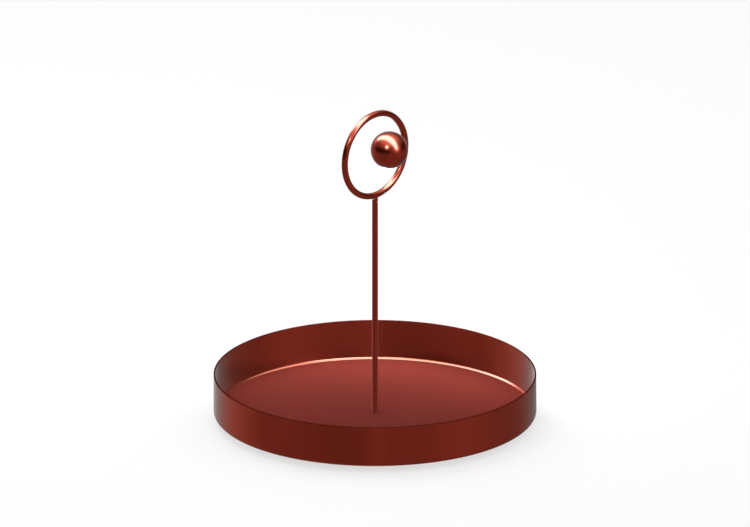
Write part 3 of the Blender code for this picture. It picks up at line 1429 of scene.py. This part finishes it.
@dataclass(frozen=True)
class Studio:
    """Pale floor, white surround, soft lamps and the cards that the metal mirrors."""

    floor_size: float = 8.0
    floor_colour: Colour = (0.93, 0.93, 0.93)
    floor_white_share: float = 0.66
    dome_strength: float = 0.78
    aim_height: float = 0.26
    lamps: tuple[SoftLamp, ...] = (
        SoftLamp("key", -35.0, 68.0, 1.6, 1.1, 9.0),
        SoftLamp("tray_lamp", 0.0, 90.0, 0.083, 0.22, 0.222, (0.134, 0.024), 0.02),
        SoftLamp("left_tray_lamp", 0.0, 90.0, 0.088, 0.05, 0.036, (0.075, -0.112), 0.05),
        SoftLamp("right_tray_lamp", 0.0, 90.0, 0.088, 0.05, 0.064, (0.070, 0.118), 0.05),
    )
    cards: tuple[Card, ...] = (
        PlacedCard("strip", 3.0, 90, 0.9, 0.60, 5.6, 70.0, (0.27, 1.0, 1.42), 0.16, 8.0, (0.060, -0.65)),
        PlacedCard(
            "corner_glow", -63.0, 90, -0.10, 0.050, 0.15, 43.0, (0.30, 1.0, 1.15), middle=(0.1117, 0.1004)
        ),
        # These small cards under the pan put painted shade, and one painted bright patch, into the inner
        # wall's reflection.
        PlacedCard("wall_shade", -55.0, 0, -0.266, 0.064, 0.024, 0.36, middle=(0.1001, 0.0562)),
        PlacedCard("wall_patch", -35.0, 0, -0.266, 0.030, 0.024, 1.6, middle=(0.0527, 0.1036)),
        PlacedCard("stem_side_shade", -35.0, 0, -0.266, 0.016, 0.024, 0.60, middle=(0.0705, 0.0902)),
        PlacedCard("left_wall_shade", 71.6, 90, -0.258, 0.036, 0.090, 0.62, middle=(0.0113, 0.1287)),
        PlacedCard("overhead_glow", 0.0, 90, 0.93, 3.2, 3.2, 8.5, (0.75, 1.0, 0.95)),
        Card("spot", -161.2, 36.9, 1.2, 0.38, 0.38, 190.0, (0.30, 1.0, 1.2), 0.8),
        Card("spot_halo", -164.0, 39.0, 1.26, 0.95, 0.85, 6.5, softness=0.9),
        Card("left_flag", -135.0, 8.5, 1.6, 5.2, 1.15, 0.09, (1.0, 0.1, 0.05), 0.45, 4.0),
        Card("right_flag", 76.0, 10.0, 1.6, 2.0, 1.15, 0.30, (1.0, 0.12, 0.08), 0.55),
        Card("left_wing", -45.0, 29.5, 5.0, 5.6, 6.6, 5.6, softness=0.9),
        Card("right_wing", 129.0, 24.5, 5.0, 5.2, 6.6, 6.4, softness=0.85),
        Card("far_glow", -5.0, 24.0, 5.6, 6.0, 4.0, 2.2),
        Card("far_low_shade", 17.0, -20.0, 5.35, 5.2, 3.4, 0.50),
        Card("left_low_glow", -57.0, -15.0, 5.4, 8.4, 6.4, 1.78),
        Card("right_low_glow", 114.0, -24.0, 5.5, 7.0, 5.1, 1.25),
        Card("front_low_glow", 178.0, -21.0, 5.5, 1.7, 3.6, 1.28),
        Card("front_low_flag", -156.0, -28.0, 5.6, 9.4, 6.0, 0.76),
        Card("far_low_flag", 45.0, -45.0, 5.8, 14.0, 8.1, 0.72, softness=0.9),
    )

    def build(self, view: View) -> None:
        """Set up the studio.

        Args:
            view: gives the directions round the object.
        """
        self.surround()
        self.floor()
        aim = Vector((0, 0, self.aim_height))
        for lamp in self.lamps:
            lamp.place(view)
        for card in self.cards:
            card.place(view, aim)

    def mirrored_share(self, sketch: NodeSketch) -> bpy.types.NodeSocket:
        """1 for glossy and transmission rays, and else 0."""
        path = sketch.add("ShaderNodeLightPath")
        return sketch.math("MAXIMUM", path.outputs["Is Glossy Ray"], path.outputs["Is Transmission Ray"])

    def camera_share(self, sketch: NodeSketch) -> bpy.types.NodeSocket:
        """1 for camera rays, and else 0."""
        return sketch.add("ShaderNodeLightPath").outputs["Is Camera Ray"]

    def surround(self) -> None:
        """White where it is seen or mirrored, and an even dome of light for the rest."""
        world = bpy.data.worlds.new("surround")
        bpy.context.scene.world = world
        sketch = blank_sketch(world)
        seen = sketch.light("ShaderNodeBackground", 1.0)
        dome = sketch.light("ShaderNodeBackground", self.dome_strength)
        share = sketch.math("MAXIMUM", self.camera_share(sketch), self.mirrored_share(sketch))
        sketch.end_in_mix("ShaderNodeOutputWorld", share, dome, seen)

    def floor(self) -> None:
        """The pale floor with the object's shadow. The metal mirrors the surround in its place."""
        half = self.floor_size / 2
        corners = [(-half, -half, 0), (half, -half, 0), (half, half, 0), (-half, half, 0)]
        mesh = bpy.data.meshes.new("floor")
        mesh.from_pydata(corners, [], [(0, 1, 2, 3)])
        material = bpy.data.materials.new("pale_floor")
        sketch = blank_sketch(material)
        matt = sketch.add("ShaderNodeBsdfDiffuse", {"Color": (*self.floor_colour, 1.0)})
        white = sketch.light("ShaderNodeEmission", 1.0)
        seen = sketch.math("MULTIPLY", self.camera_share(sketch), self.floor_white_share)
        share = sketch.math("MAXIMUM", seen, self.mirrored_share(sketch))
        sketch.end_in_mix("ShaderNodeOutputMaterial", share, matt, white)
        mesh.materials.append(material)
        floor = add_object("floor", mesh)
        floor.visible_glossy = False


def main() -> None:
    """Build the tray and its studio."""
    logging.basicConfig(level=logging.INFO, format="%(name)s: %(message)s")
    bpy.context.scene.view_settings.view_transform = "Standard"
    view = View()
    view.place()
    lacquer, steel, rubber = Lacquer().build(), PlatedSteel().build(), MouldedRubber().build()
    for assembly in (TrayPan(lacquer), Handle(lacquer), Fastenings(steel), Feet(rubber)):
        assembly.build()
    Studio().build(view)


if __name__ == "__main__":
    main()
